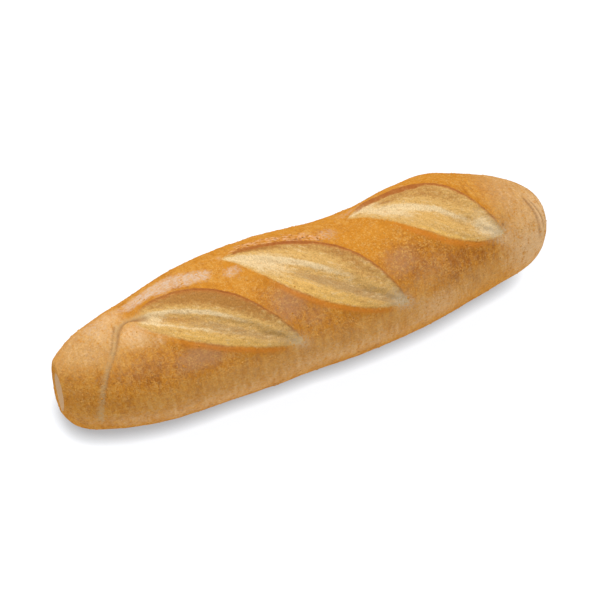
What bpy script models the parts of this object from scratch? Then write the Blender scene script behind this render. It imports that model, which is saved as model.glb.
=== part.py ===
# A small baguette, baked and uncut: one solid loaf with three slashes across its top.
#
# Units are metres and +Z is up.  The loaf lies along X on a flat base.  Its slashes start on
# the far shoulder (+Y) and run down over the crest to the near side (-Y).  The origin is the
# middle of the loaf's footprint, on the surface that it rests on.
#
# The loaf's skin is laid out in two directions: x along the loaf, and "round", the distance
# round the loaf from its crest, positive towards the far side.  Each slash is a leaf in that
# layout, with a raised lip (the ear) on its far edge and a soft rim on its near edge.

import math

import bpy
import numpy as np

MM = 0.001


def mm(*values):
    return np.array(values) * MM


# ---- The body of the loaf ----------------------------------------------------------------

LENGTH = 220 * MM
STATION = mm(-110, -75, -40, -10, 20, 42, 58, 70, 85, 110)      # places along the loaf
HALF_WIDTH = mm(22.7, 27.1, 32.4, 33.0, 31.5, 31.0, 30.8, 30.0, 27.1, 27.2)
CREST = mm(40.0, 42.3, 47.1, 48.0, 47.6, 48.2, 48.8, 48.6, 46.8, 46.2)
SWAY = mm(4.1, 0.7, 1.4, 0.8, -1.5, -1.1, 0.5, 2.0, 0.9, -7.3)  # the slight bend sideways

BELT = 0.44               # height of the widest place, as a part of the loaf's height
BASE_CUT = 2.6 * MM       # how much of the round underside the flat base takes off
ROUND_RADIUS = 30 * MM    # turns an angle round the loaf into a distance from the crest

# Each end: reach and squareness in plan, reach and squareness underneath, height of the tip
LEFT_END = dict(reach=46 * MM, square=2.4, under_reach=13 * MM, under_square=2.8, tip=25 * MM)
RIGHT_END = dict(reach=47 * MM, square=2.5, under_reach=30 * MM, under_square=2.1, tip=33 * MM)
LEFT_SKEW = 0.10          # how far the near side of the left end stands out past its far side
SKEW_REACH = 37 * MM

# ---- The slashes -------------------------------------------------------------------------

# start and end are (x, round).  ear and rim say how far each edge bows out from the straight
# line between them, where along it the bow is deepest (0 to 1) and how full the bow is.
# lift is the height of the ear's lip over the plain body, drop the step from the lip down to
# the crumb (at the slash's start and at its end), lean how far the lip hangs over the crumb,
# valley how far the crumb's long dip lies below the plain body, and slope how far behind the
# lip the raised crust sinks back.
SLASHES = [
    dict(start=mm(-75.0, 5.5), end=mm(-11.5, -35.0),
         ear=(13.7 * MM, 0.43, 0.8), rim=(8.9 * MM, 0.42, 0.8),
         lift=2.0 * MM, drop=mm(1.0, 0.8), lean=0.5 * MM, valley=0.6 * MM,
         slope=8 * MM),
    dict(start=mm(-29.0, 14.5), end=mm(36.5, -35.5),
         ear=(14.9 * MM, 0.53, 1.05), rim=(10.2 * MM, 0.47, 0.9),
         lift=2.4 * MM, drop=mm(1.2, 0.9), lean=0.6 * MM, valley=0.8 * MM,
         slope=8 * MM),
    dict(start=mm(26.0, 13.5), end=mm(87.5, -26.5),
         ear=(17.3 * MM, 0.44, 1.0), rim=(7.3 * MM, 0.70, 0.85),
         lift=2.8 * MM, drop=mm(1.8, 0.8), lean=0.9 * MM, valley=0.2 * MM,
         slope=11 * MM),
]
DROP_CHANGE = (0.38, 0.48)      # the drop goes over from one to the other here, along the slash

LEAN_REACH = 2.0 * MM     # how far from the lip the skin still leans with it
RIM_EDGE = 0.9 * MM       # height of the near edge, where crust and crumb meet
RIM_CREST = 1.3 * MM      # height of the soft ridge just inside that edge
RIM_SLOPE = 3.5 * MM      # how far past the near edge the crust sinks back to the body
CRUMB_SWELL = 1.1 * MM    # the long swelling through the middle of the crumb
SHELF = 0.75              # from here to the ear the crumb rises or sinks to the lip's foot
CRUMB_PLACES = np.array([0.0, 0.20, 0.44, 0.62, SHELF, 1.0])    # edge, crest, dip and swelling
TIP_FADE = 0.13           # part of a slash's length over which its relief fades at a tip

# ---- The ends ----------------------------------------------------------------------------

# The fold round the left end runs from the first slash down to the base.  The dough on the
# loaf's side of it bulges over a shallow trough on the tip's side.
FOLD_X = mm(-66, -70, -74, -77.5, -80.5, -83.3, -86.5, -89.5, -92.6, -94.6, -95.2)
FOLD_ROUND = mm(0, 2.6, 5, 4.2, 0, -6, -12, -18, -27, -38, -48)
FOLD_DEPTH = 0.9 * MM
FOLD_TROUGH = 3.4 * MM    # width of the trough
FOLD_WALL = 1.5 * MM      # width of the steep side under the bulge
FOLD_BULGE = 0.5 * MM
FOLD_BULGE_REACH = 7.0 * MM
FOLD_FADE = 0.2           # part of the fold's length over which it begins and ends
FOLD_SAMPLES = 80

# The spot on the left end where this loaf lay against the next one: a shallow hollow
KISS_CENTRE = mm(-107.9, 0.0, 20.0)
KISS_FACING = (-0.965, 0.166, 0.035)
KISS_HOLLOW = 1.2 * MM
KISS_RADIUS = 10 * MM
KISS_EDGE = 0.83          # the spot ends softly, over this part of its radius past its edge

# ---- The mesh ----------------------------------------------------------------------------

COLUMNS = 92              # faces along the loaf
ROWS = 52                 # faces round the loaf
CREST_DENSITY = 0.50      # how much closer the rows lie at the crest than at the base
GATHER_REACH = 7.0 * MM   # points of the layout this near a lip are drawn towards it
GATHER_POWER = 1.6
LIP_WALL = 0.3 * MM       # the width over which a lip drops to the crumb
ON_LIP = 0.01 * MM        # points this near the lip's line count as on it
LIP_PASSES = 3            # times a point is moved again to lie on the lip
NORMAL_STEP = 0.2 * MM    # distance over which the body's own slope is measured
TINY = 1e-12              # added to a length that is divided by, in case it is nought
SHARP_ANGLE = math.radians(50)


def smooth_step(value):
    t = np.clip(value, 0.0, 1.0)
    return t * t * (3.0 - 2.0 * t)


def smooth_curve(x, xs, ys):
    # A curve through the points (xs, ys), smooth at each of them
    slopes = np.gradient(ys, xs)
    x = np.clip(x, xs[0], xs[-1])
    i = np.clip(np.searchsorted(xs, x) - 1, 0, len(xs) - 2)
    width = xs[i + 1] - xs[i]
    t = (x - xs[i]) / width
    return ((1 + 2 * t) * (1 - t) ** 2 * ys[i] + t * (1 - t) ** 2 * width * slopes[i]
            + t * t * (3 - 2 * t) * ys[i + 1] + t * t * (t - 1) * width * slopes[i + 1])


def end_round(distance, reach, square):
    # 0 at the tip of an end and 1 from `reach` inwards; a larger `square` is a blunter end
    u = np.clip(1.0 - distance / reach, 0.0, 1.0)
    return (1.0 - u ** square) ** (1.0 / square)


def body_point(x, around):
    # The plain loaf, without slashes.  x is along the loaf, around the distance from the crest.
    left = x + LENGTH / 2
    right = LENGTH / 2 - x
    full = (end_round(left, LEFT_END["reach"], LEFT_END["square"])
            * end_round(right, RIGHT_END["reach"], RIGHT_END["square"]))
    under = (end_round(left, LEFT_END["under_reach"], LEFT_END["under_square"])
             * end_round(right, RIGHT_END["under_reach"], RIGHT_END["under_square"]))
    tip = LEFT_END["tip"] + (RIGHT_END["tip"] - LEFT_END["tip"]) * left / LENGTH

    half_width = smooth_curve(x, STATION, HALF_WIDTH) * full
    top = tip + (smooth_curve(x, STATION, CREST) - tip) * full
    bottom = tip * (1.0 - under)
    belt = bottom + (top - bottom) * BELT

    angle = around / ROUND_RADIUS
    upper = belt + (top - belt) * np.cos(angle)
    lower = belt + (belt - bottom + BASE_CUT * under * full) * np.cos(angle)
    z = np.where(np.cos(angle) >= 0.0, upper, np.maximum(lower, bottom))
    y = smooth_curve(x, STATION, SWAY) + half_width * np.sin(angle)
    skew = LEFT_SKEW * smooth_step(1.0 - left / SKEW_REACH)
    return np.stack([x + skew * y, y, z], axis=-1)


def bow(along, peak, fullness):
    # The bow of a slash's edge: 0 at its tips and 1 at `peak`
    t = np.clip(along, 0.0, 1.0) ** (math.log(0.5) / math.log(peak))
    return np.maximum(np.sin(math.pi * t), 0.0) ** fullness


def slash_place(slash, x, around):
    # Where a point lies in a slash: its part along the slash, its distances past the ear and
    # past the rim (positive on the crust), and how strong the relief is there
    line = slash["end"] - slash["start"]
    length = math.hypot(*line)
    ux, ur = line / length
    dx, dr = x - slash["start"][0], around - slash["start"][1]
    along = (dx * ux + dr * ur) / length
    across = dr * ux - dx * ur
    ear_bow, ear_peak, ear_full = slash["ear"]
    rim_bow, rim_peak, rim_full = slash["rim"]
    past_ear = across - ear_bow * bow(along, ear_peak, ear_full)
    past_rim = -rim_bow * bow(along, rim_peak, rim_full) - across
    strength = smooth_step(along / TIP_FADE) * smooth_step((1.0 - along) / TIP_FADE)
    return along, past_ear, past_rim, strength


def slide_across(slash, x, around, distance):
    # Moves points of the layout square to a slash, towards the far side
    line = slash["end"] - slash["start"]
    ux, ur = line / math.hypot(*line)
    return x - ur * distance, around + ux * distance


def on_lip(past_ear, strength):
    # Of the two ends of each grid line that crosses an ear, the nearer one is on the lip
    lip = np.zeros(past_ear.shape, dtype=bool)
    for first, second in ((np.s_[:-1, :], np.s_[1:, :]), (np.s_[:, :-1], np.s_[:, 1:])):
        crosses = (past_ear[first] > 0.0) != (past_ear[second] > 0.0)
        nearer = np.abs(past_ear[first]) <= np.abs(past_ear[second])
        lip[first] |= crosses & nearer
        lip[second] |= crosses & ~nearer
    return lip & (strength > 0.0)


def settle_layout(x, around):
    # Draws the grid towards the ears and puts a line of its points exactly on each lip
    lips = np.zeros(x.shape, dtype=bool)
    for slash in SLASHES:
        along, past_ear, past_rim, strength = slash_place(slash, x, around)
        lip = on_lip(past_ear, strength)
        near = np.minimum(np.abs(past_ear) / GATHER_REACH, 1.0)
        pull = np.sign(past_ear) * GATHER_REACH * (near ** GATHER_POWER - near) * strength
        wall = np.where(past_ear < 0.0, -LIP_WALL * (1.0 - near) * strength, 0.0)
        x, around = slide_across(slash, x, around, np.where(lip, -past_ear, pull + wall))
        for _ in range(LIP_PASSES):
            along, past_ear, past_rim, strength = slash_place(slash, x, around)
            x, around = slide_across(slash, x, around, np.where(lip, -past_ear, 0.0))
        lips |= lip
    return x, around, lips


def slash_relief(x, around):
    # Height of the slashed skin over the plain body, and the lip's lean towards the near side
    height = np.zeros_like(x)
    lean = np.zeros_like(x)
    for slash in SLASHES:
        along, past_ear, past_rim, strength = slash_place(slash, x, around)
        width = np.maximum(-past_ear - past_rim, ON_LIP)
        across = np.clip(-past_rim / width, 0.0, 1.0)      # 0 at the rim, 1 at the ear
        first_drop, last_drop = slash["drop"]
        begin, finish = DROP_CHANGE
        change = smooth_step((along - begin) / (finish - begin))
        foot = slash["lift"] - first_drop - (last_drop - first_drop) * change

        crust_far = slash["lift"] * np.exp(-np.maximum(past_ear, 0.0) / slash["slope"])
        crust_near = RIM_EDGE * np.exp(-(np.maximum(past_rim, 0.0) / RIM_SLOPE) ** 2)
        crumb = smooth_curve(across, CRUMB_PLACES, np.array(
            [RIM_EDGE, RIM_CREST, -slash["valley"], CRUMB_SWELL, CRUMB_SWELL, CRUMB_SWELL]))
        crumb += (foot - CRUMB_SWELL) * smooth_step((across - SHELF) / (1.0 - SHELF))
        inside = np.where(past_rim > 0.0, crust_near, crumb)
        on_far_crust = smooth_step(1.0 + (past_ear + ON_LIP) / LIP_WALL)
        height += strength * (inside + (crust_far - inside) * on_far_crust)
        overhang = np.exp(-(past_ear / LEAN_REACH) ** 2)
        lean += strength * slash["lean"] * overhang * (2.0 * on_far_crust - 1.0)
    return height, lean


def fold_relief(x, around):
    # Height of the skin beside the fold round the left end
    step = np.arange(len(FOLD_X), dtype=float)
    t = np.linspace(0.0, step[-1], FOLD_SAMPLES)
    line_x, line_round = smooth_curve(t, step, FOLD_X), smooth_curve(t, step, FOLD_ROUND)
    nearest = np.full_like(x, np.inf)
    side = np.zeros_like(x)             # positive on the bulging side
    strength = np.zeros_like(x)
    for part_way, fx, fr, tx, tr in zip(t / t[-1], line_x, line_round,
                                        np.gradient(line_x), np.gradient(line_round)):
        away = np.hypot(x - fx, around - fr)
        closer = away < nearest
        nearest = np.where(closer, away, nearest)
        side = np.where(closer, tx * (around - fr) - tr * (x - fx), side)
        fade = smooth_step(part_way / FOLD_FADE) * smooth_step((1.0 - part_way) / FOLD_FADE)
        strength = np.where(closer, fade, strength)
    wall = np.exp(-(nearest / FOLD_WALL) ** 2)
    bulge = FOLD_BULGE * (1.0 - wall) * np.exp(-(nearest / FOLD_BULGE_REACH) ** 2)
    trough = -FOLD_DEPTH * np.exp(-(nearest / FOLD_TROUGH) ** 2)
    return strength * np.where(side > 0.0, bulge - FOLD_DEPTH * wall, trough)


def press_kiss(points):
    # Presses the left end flat where it met the next loaf, with a slight hollow
    facing = np.array(KISS_FACING) / np.linalg.norm(KISS_FACING)
    offset = points - KISS_CENTRE
    out = offset @ facing
    aside = np.linalg.norm(offset - out[..., None] * facing, axis=-1) / KISS_RADIUS
    hollow = KISS_HOLLOW * smooth_step(1.0 - aside)
    excess = np.maximum(out + hollow, 0.0) * smooth_step((1.0 - aside) / KISS_EDGE + 1.0)
    return points - excess[..., None] * facing


def loaf_points(x, around):
    x, around, lips = settle_layout(x, around)
    base = body_point(x, around)
    along = body_point(x + NORMAL_STEP, around) - body_point(x - NORMAL_STEP, around)
    about = body_point(x, around + NORMAL_STEP) - body_point(x, around - NORMAL_STEP)
    normal = np.cross(along, about)
    normal /= np.linalg.norm(normal, axis=-1, keepdims=True) + TINY
    about /= np.linalg.norm(about, axis=-1, keepdims=True) + TINY
    height, lean = slash_relief(x, around)
    height = height + fold_relief(x, around)
    points = base + normal * height[..., None] - about * lean[..., None]
    points = press_kiss(points)
    points[..., 2] = np.maximum(points[..., 2], 0.0)
    return points, lips


def loaf_grid():
    # Columns lie closer at the ends, rows closer at the crest.  The first and last column
    # stand just inside the tips, and the tips themselves are single points.
    turn = np.linspace(0.0, math.pi, COLUMNS + 1)[1:-1]
    x = -np.cos(turn) * LENGTH / 2
    t = np.linspace(-math.pi, math.pi, ROWS, endpoint=False)
    around = ROUND_RADIUS * (t - CREST_DENSITY * np.sin(t))
    return np.meshgrid(x, around, indexing="ij")


def make_loaf():
    points, lips = loaf_points(*loaf_grid())
    columns, rows = lips.shape
    tips = [points[0].mean(axis=0), points[-1].mean(axis=0)]
    verts = np.concatenate([points.reshape(-1, 3), tips])
    middle = (verts.min(axis=0) + verts.max(axis=0)) / 2
    verts -= (middle[0], middle[1], verts[:, 2].min())

    # Each cell is two triangles, and the line between them follows a lip where one passes
    faces = []
    for i in range(columns - 1):
        for j in range(rows):
            k = (j + 1) % rows
            a, b, c, d = i * rows + j, (i + 1) * rows + j, (i + 1) * rows + k, i * rows + k
            if lips[i, j] and lips[i + 1, k]:
                faces += [(a, b, c), (a, c, d)]
            else:
                faces += [(a, b, d), (b, c, d)]
    left_tip, right_tip = columns * rows, columns * rows + 1
    last = (columns - 1) * rows
    for j in range(rows):
        k = (j + 1) % rows
        faces.append((left_tip, j, k))
        faces.append((right_tip, last + k, last + j))

    mesh = bpy.data.meshes.new("loaf")
    mesh.from_pydata(verts.tolist(), [], faces)
    mesh.shade_smooth()
    mesh.set_sharp_from_angle(angle=SHARP_ANGLE)
    return mesh


def make_crust():
    material = bpy.data.materials.new("crust")
    material.use_nodes = True
    shader = material.node_tree.nodes["Principled BSDF"]
    shader.inputs["Base Color"].default_value = (0.52, 0.25, 0.08, 1.0)
    shader.inputs["Roughness"].default_value = 0.55
    shader.inputs["Metallic"].default_value = 0.0
    return material


def main():
    for item in list(bpy.data.objects):
        bpy.data.objects.remove(item)
    loaf = bpy.data.objects.new("loaf", make_loaf())
    loaf.data.materials.append(make_crust())
    bpy.context.scene.collection.objects.link(loaf)


main()
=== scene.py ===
import math

import bpy
import numpy as np
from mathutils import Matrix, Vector


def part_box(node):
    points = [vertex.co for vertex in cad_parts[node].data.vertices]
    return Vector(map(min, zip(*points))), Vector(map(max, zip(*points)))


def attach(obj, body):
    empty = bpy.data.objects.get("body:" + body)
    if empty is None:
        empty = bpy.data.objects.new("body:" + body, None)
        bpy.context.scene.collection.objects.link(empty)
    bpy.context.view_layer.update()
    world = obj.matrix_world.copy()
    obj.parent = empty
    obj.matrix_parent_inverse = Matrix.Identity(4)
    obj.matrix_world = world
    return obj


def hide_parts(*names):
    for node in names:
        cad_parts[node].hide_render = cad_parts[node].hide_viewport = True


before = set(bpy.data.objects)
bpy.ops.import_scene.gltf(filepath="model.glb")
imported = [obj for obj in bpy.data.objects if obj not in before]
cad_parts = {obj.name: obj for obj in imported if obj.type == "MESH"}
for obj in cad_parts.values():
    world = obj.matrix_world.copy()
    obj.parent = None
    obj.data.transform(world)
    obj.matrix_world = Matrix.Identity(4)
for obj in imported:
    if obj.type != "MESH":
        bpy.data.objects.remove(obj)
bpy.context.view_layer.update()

mm = 0.001
print("frame loaded")


# small helpers for node trees, used by the shapes and by the materials

def isSocket(value):
    return isinstance(value, bpy.types.NodeSocket)


def feed(node, inputs):  # a socket is linked, any other value is set
    for key, value in inputs.items():
        if isSocket(value):
            node.id_data.links.new(value, node.inputs[key])
        else:
            node.inputs[key].default_value = value


def put(kind, inputs, tree=None, **settings):  # a node, in the given tree or that of what feeds it
    tree = tree or next(value.id_data for value in inputs.values() if isSocket(value))
    node = tree.nodes.new(kind)
    for name, value in settings.items():
        setattr(node, name, value)
    feed(node, inputs)
    return node


def result(kind, inputs, tree=None, **settings):
    return put(kind, inputs, tree, **settings).outputs[0]


def calc(operation, first, second=0, third=0):
    return result("ShaderNodeMath", {0: first, 1: second, 2: third}, operation=operation)


def times(first, second):
    return calc("MULTIPLY", first, second)


def add(base, extra, share=1):  # the base and a share of the extra
    return calc("MULTIPLY_ADD", extra, share, base)


def scaled(vector, factor):  # a longer or shorter vector, a lighter or darker colour
    return result("ShaderNodeVectorMath", {0: vector, 3: factor}, operation="SCALE")


def combined(x=0, y=0, z=0):
    return result("ShaderNodeCombineXYZ", {0: x, 1: y, 2: z})


def partsOf(vector):
    return put("ShaderNodeSeparateXYZ", {0: vector}).outputs


def span(value, low, high, start=0, end=1, curve="SMOOTHSTEP"):  # low..high becomes start..end
    return result("ShaderNodeMapRange", {0: value, 1: low, 2: high, 3: start, 4: end},
                  interpolation_type=curve)


def perMetre(size):  # a pattern's scale from its size: a name, a number or a socket
    size = patternSize[size] if isinstance(size, str) else size
    return calc("DIVIDE", 1, size) if isSocket(size) else 1 / size


def grain(vector, size, detail=2, rough=0.5):  # noise whose features are about size across
    return result("ShaderNodeTexNoise", {"Vector": vector, "Scale": perMetre(size),
                                         "Detail": detail, "Roughness": rough})


def wobble(vector, size, detail=2, rough=0.5):  # the same noise, as -1..1 about nought
    return span(grain(vector, size, detail, rough), 0.25, 0.75, -1, 1, "LINEAR")


def cells(vector, size, feature="F1"):  # distance from random points, size apart
    return put("ShaderNodeTexVoronoi", {"Vector": vector, "Scale": perMetre(size)}, feature=feature).outputs


def newTree(name, kind, inputs, outputs):  # a socket's value is a number, or the name of its kind
    tree = bpy.data.node_groups.new(name, kind + "NodeTree")
    for side, sockets in (("INPUT", inputs), ("OUTPUT", outputs)):
        for label, value in sockets.items():
            socketKind = value if isinstance(value, str) else type(value).__name__.capitalize()
            socket = tree.interface.new_socket(name=label, in_out=side, socket_type="NodeSocket" + socketKind)
            if not isinstance(value, str):
                socket.default_value = value
    return tree, put("NodeGroupInput", {}, tree).outputs


def shapeTree(name, values):  # a tree that takes a mesh, those values and a material, and gives a mesh
    return newTree(name, "Geometry", {"Geometry": "Geometry", **values, "Material": "Material"},
                   {"Geometry": "Geometry"})


def finishTree(geometry, material):
    real = result("GeometryNodeRealizeInstances", {0: geometry})
    put("NodeGroupOutput", {0: result("GeometryNodeSetMaterial", {"Geometry": real, "Material": material})})
    return real.id_data


def named(tree, name, kind="FLOAT"):  # an attribute of the mesh, for Geometry Nodes
    return result("GeometryNodeInputNamedAttribute", {0: name}, tree, data_type=kind)


def runTree(piece, tree, values):  # sets the tree's inputs, runs it and keeps the plain mesh
    modifier = piece.modifiers.new(tree.name, "NODES")
    modifier.node_group = tree
    ids = {s.name: s.identifier for s in tree.interface.items_tree if s.in_out == "INPUT"}
    for name, value in values.items():
        modifier[ids[name]] = value
    depsgraph = bpy.context.evaluated_depsgraph_get()
    made = bpy.data.meshes.new_from_object(piece.evaluated_get(depsgraph),
                                           preserve_all_data_layers=True, depsgraph=depsgraph)
    piece.modifiers.remove(modifier)
    old, piece.data = piece.data, made
    bpy.data.meshes.remove(old)
    made.name = piece.name


def newPiece(name, mesh):
    piece = bpy.data.objects.new(name, mesh)
    bpy.context.scene.collection.objects.link(piece)
    return piece


def readOut(items, name, width=1, kind=np.float32):  # a row of values for each item of a mesh
    values = np.zeros(len(items) * width, dtype=kind)
    items.foreach_get(name, values)
    return values.reshape(-1, width)


# small helpers for the numbers of the shapes

def smoothStep(value):
    t = np.clip(value, 0, 1)
    return t * t * (3 - 2 * t)


def between(value, none, full):  # 0 at none, 1 at full, smooth between them
    return smoothStep((value - none) / (full - none))


def fallOff(distance, reach, power=2):  # 1 up to nought, then dying away within about the reach
    return np.exp(-(np.maximum(distance, 0) / reach) ** power)


def softPatch(u, v, power=2.6):  # 1 in the middle of a patch, soft beyond its reach
    return np.exp(-np.abs(u) ** power - np.abs(v) ** power)


def smoothCurve(x, xs, ys):  # a curve through the points (xs, ys), smooth at each
    slopes = np.gradient(ys, xs)
    x = np.clip(x, xs[0], xs[-1])
    i = np.clip(np.searchsorted(xs, x) - 1, 0, len(xs) - 2)
    width = xs[i + 1] - xs[i]
    t = (x - xs[i]) / width
    return ((1 + 2 * t) * (1 - t) ** 2 * ys[i] + t * (1 - t) ** 2 * width * slopes[i]
            + t * t * (3 - 2 * t) * ys[i + 1] + t * t * (t - 1) * width * slopes[i + 1])


def inMm(*lengths):
    return np.array(lengths) * mm


def changing(pair, along, stretch):  # from the first value to the second over that stretch
    return pair[0] + (pair[1] - pair[0]) * between(along, *stretch)


def unit(vectors, least=1e-12):
    return vectors / (np.linalg.norm(vectors, axis=-1, keepdims=True) + least)


def patchesOver(patches, u, v):  # (u, v, reach in u, reach in v, strength) of each, at the places (u, v)
    return [amount * softPatch((u - atU) / reachU, (v - atV) / reachV)
            for atU, atV, reachU, reachV, amount in patches]


def keepMost(looks, masks):  # where two masks meet, the stronger one counts
    for name, values in masks.items():
        looks[name] = np.maximum(looks.get(name, 0), values)


# the loaf's body: x runs along it, around is the distance round it from the crest

loafBody = {
    "length": 220 * mm,
    "station": inMm(-110, -75, -40, -10, 20, 42, 58, 70, 85, 110),
    "halfWidth": inMm(22.7, 27.1, 32.4, 33, 31.5, 31, 30.8, 30, 27.1, 27.2),
    "crest": inMm(40, 42.3, 47.1, 48, 47.6, 48.2, 48.8, 48.6, 46.8, 46.2),
    "sway": inMm(4.1, 0.7, 1.4, 0.8, -1.5, -1.1, 0.5, 2, 0.9, -7.3),
    "belt": 0.44, "baseCut": 2.6 * mm, "roundRadius": 30 * mm,
    "leftEnd": (46 * mm, 2.4), "leftUnder": (13 * mm, 2.8), "rightEnd": (47 * mm, 2.5),
    "rightUnder": (30 * mm, 2.1), "tips": inMm(25, 33),  # (reach, squareness), and the tips' heights
    "leftSkew": 0.1, "skewReach": 37 * mm, "columns": 420, "rows": 226, "crestDensity": 0.5,
}


def endRound(distance, reach, square):  # 0 at the tip of an end, 1 from reach inwards
    u = np.clip(1 - distance / reach, 0, 1)
    return (1 - u ** square) ** (1 / square)


def bodyPoint(x, around):
    b = loafBody
    left, right = x + b["length"] / 2, b["length"] / 2 - x
    full = endRound(left, *b["leftEnd"]) * endRound(right, *b["rightEnd"])
    under = endRound(left, *b["leftUnder"]) * endRound(right, *b["rightUnder"])
    leftTip, rightTip = b["tips"]
    tip = leftTip + (rightTip - leftTip) * left / b["length"]
    halfWidth = smoothCurve(x, b["station"], b["halfWidth"]) * full
    top = tip + (smoothCurve(x, b["station"], b["crest"]) - tip) * full
    bottom = tip * (1 - under)
    belt = bottom + (top - bottom) * b["belt"]
    angle = around / b["roundRadius"]
    upper = belt + (top - belt) * np.cos(angle)
    lower = belt + (belt - bottom + b["baseCut"] * under * full) * np.cos(angle)
    z = np.where(np.cos(angle) >= 0, upper, np.maximum(lower, bottom))
    y = smoothCurve(x, b["station"], b["sway"]) + halfWidth * np.sin(angle)
    skew = b["leftSkew"] * smoothStep(1 - left / b["skewReach"])
    return np.stack([x + skew * y, y, z], axis=-1)


# the slashes: leaves in the same layout, with the ear on the far edge and the rim on the near edge
# ear, rim: how far the edge bows out, where along it most, and how lean the bow is
# opening: the part of the length over which the crumb comes to show
# lift, slope: how high the lip is raised, and over what distance the skin behind it falls off again
# valley: how deep the crumb dips beside the rim
# drop, wall: the lip's height over the crumb and the width of its face, at the start and at the end
# ink: how dark the lip is, partly the ear edge's toasted colour and partly painted shade in the crevice under
# it;  earToastAndShade: the band below it, partly toasted crumb and partly painted shade under the ear
# (reach, strength)
# paleStart: how much of that band the start lacks
# flaky: where the ear is split and wrinkled (from, to, reach behind the lip, strength)
# smear: the pale end (where along, reach along, reach aside, strength)
# tones: patches of the crumb (along, across from 0 at the rim to 1 at the ear, both reaches, strength)

# besides the crumb's own colour, its tones paint light and shade: cream on the raised ridge and gold by the
# rim are partly painted highlight, ash in the valley and the toasted tone under the ear partly painted shade
slashes = [
    {"start": inMm(-75, 5.5), "end": inMm(-11.5, -35), "seed": 3,
     "ear": (13.7 * mm, 0.43, 0.8), "rim": (8.9 * mm, 0.42, 0.8), "opening": 0.14,
     "slope": 8 * mm, "lift": 2 * mm, "valley": 0.35 * mm,
     "drop": inMm(0.5, 0.4), "wall": inMm(0.3, 0.25),
     "ink": (0.1, 0.3, 0.75, 0.5, 0.3), "earToastAndShade": (1.8 * mm, 0.9), "paleStart": 0,
     "flaky": (0.05, 0.3, 1.5 * mm, 0.15), "smear": (0.96, 5 * mm, 3.2 * mm, 0.7),
     "tones": {"toastAndShade": [(0.45, 0.86, 0.42, 0.2, 1), (0.3, 0.41, 0.2, 0.09, 0.6)],
               "cream": [(0.34, 0.57, 0.3, 0.045, 1), (0.12, 0.4, 0.1, 0.22, 0.9),
                         (0.3, 0.25, 0.24, 0.035, 0.7)],
               "ash": [(0.58, 0.34, 0.28, 0.11, 0.9), (0.9, 0.45, 0.12, 0.6, 0.5)],
               "gold": [(0.6, 0.06, 0.32, 0.06, 1.3), (0.5, 0.16, 0.28, 0.08, 0.6)]}},
    {"start": inMm(-29, 14.5), "end": inMm(36.5, -35.5), "seed": 8,
     "ear": (14.9 * mm, 0.53, 1.05), "rim": (10.2 * mm, 0.47, 0.9), "opening": 0.04,
     "slope": 8 * mm, "lift": 2.4 * mm, "valley": 0.45 * mm,
     "drop": inMm(0.8, 0.4), "wall": inMm(0.45, 0.25),
     "ink": (0.5, 1, 0.75, 0.6, 0.4), "earToastAndShade": (1.5 * mm, 0.9), "paleStart": 0.2,
     "flaky": (0.03, 0.5, 5.5 * mm, 1), "smear": (0.94, 6 * mm, 3.2 * mm, 1),
     "tones": {"cream": [(0.16, 0.4, 0.2, 0.3, 1), (0.38, 0.56, 0.24, 0.05, 1)],
               "toastAndShade": [(0.38, 0.9, 0.3, 0.11, 0.5), (0.68, 0.78, 0.16, 0.2, 0.5),
                         (0.15, 0.93, 0.12, 0.1, 0.8)],
               "ash": [(0.66, 0.35, 0.32, 0.1, 1.2), (0.94, 0.45, 0.12, 0.7, 0.7)],
               "gold": [(0.62, 0.05, 0.34, 0.05, 1.3), (0.55, 0.16, 0.3, 0.1, 0.6)]}},
    {"start": inMm(26, 13.5), "end": inMm(87.5, -26.5), "seed": 14,
     "ear": (17.3 * mm, 0.44, 1), "rim": (7.3 * mm, 0.7, 0.85), "opening": 0.06,
     "slope": 11 * mm, "lift": 2.8 * mm, "valley": 0.1 * mm,
     "drop": inMm(1.5, 0.4), "wall": inMm(0.8, 0.25),
     "ink": (0.6, 0.9, 0.7, 0.4, 0.2), "earToastAndShade": (1.2 * mm, 0.95), "paleStart": 0.1,
     "flaky": (0.06, 0.4, 2 * mm, 0.25), "smear": (0.93, 7.5 * mm, 4.6 * mm, 0.8),
     "tones": {"toastAndShade": [(0.44, 0.84, 0.32, 0.18, 0.65), (0.24, 0.68, 0.05, 0.05, 0.8)],
               "cream": [(0.26, 0.38, 0.16, 0.22, 1), (0.1, 0.75, 0.09, 0.2, 1),
                         (0.5, 0.5, 0.24, 0.06, 1), (0.88, 0.55, 0.12, 0.35, 0.9)],
               "gold": [(0.58, 0.3, 0.2, 0.12, 0.35), (0.68, 0.05, 0.3, 0.05, 1.3)],
               "ash": [(0.72, 0.42, 0.14, 0.1, 0.5)]}},
]

# what the three have in common;  places: across, from the rim to the ear;  flakeRun: along and about
slashForm = {
    "tipFade": 0.13, "lipChange": (0.4, 0.47), "raggedness": 0.07 * mm, "lean": 0.05 * mm,
    "leanReach": 2 * mm, "rimEdge": 0.9 * mm, "rimCrest": 1.3 * mm, "rimSlope": 3.5 * mm,
    "crumbSwell": 1.1 * mm, "shelf": 0.75, "places": np.array([0, 0.2, 0.44, 0.62, 0.75, 1]),
    "wander": 0.016, "fullWidth": 17 * mm, "flakeRun": (0.84, -0.54), "grainApart": 50 * mm,
    "gatherReach": 4 * mm, "gatherPower": 1.7, "onLip": 0.01 * mm, "settlings": 3, "faintest": 0.001,
}
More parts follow.
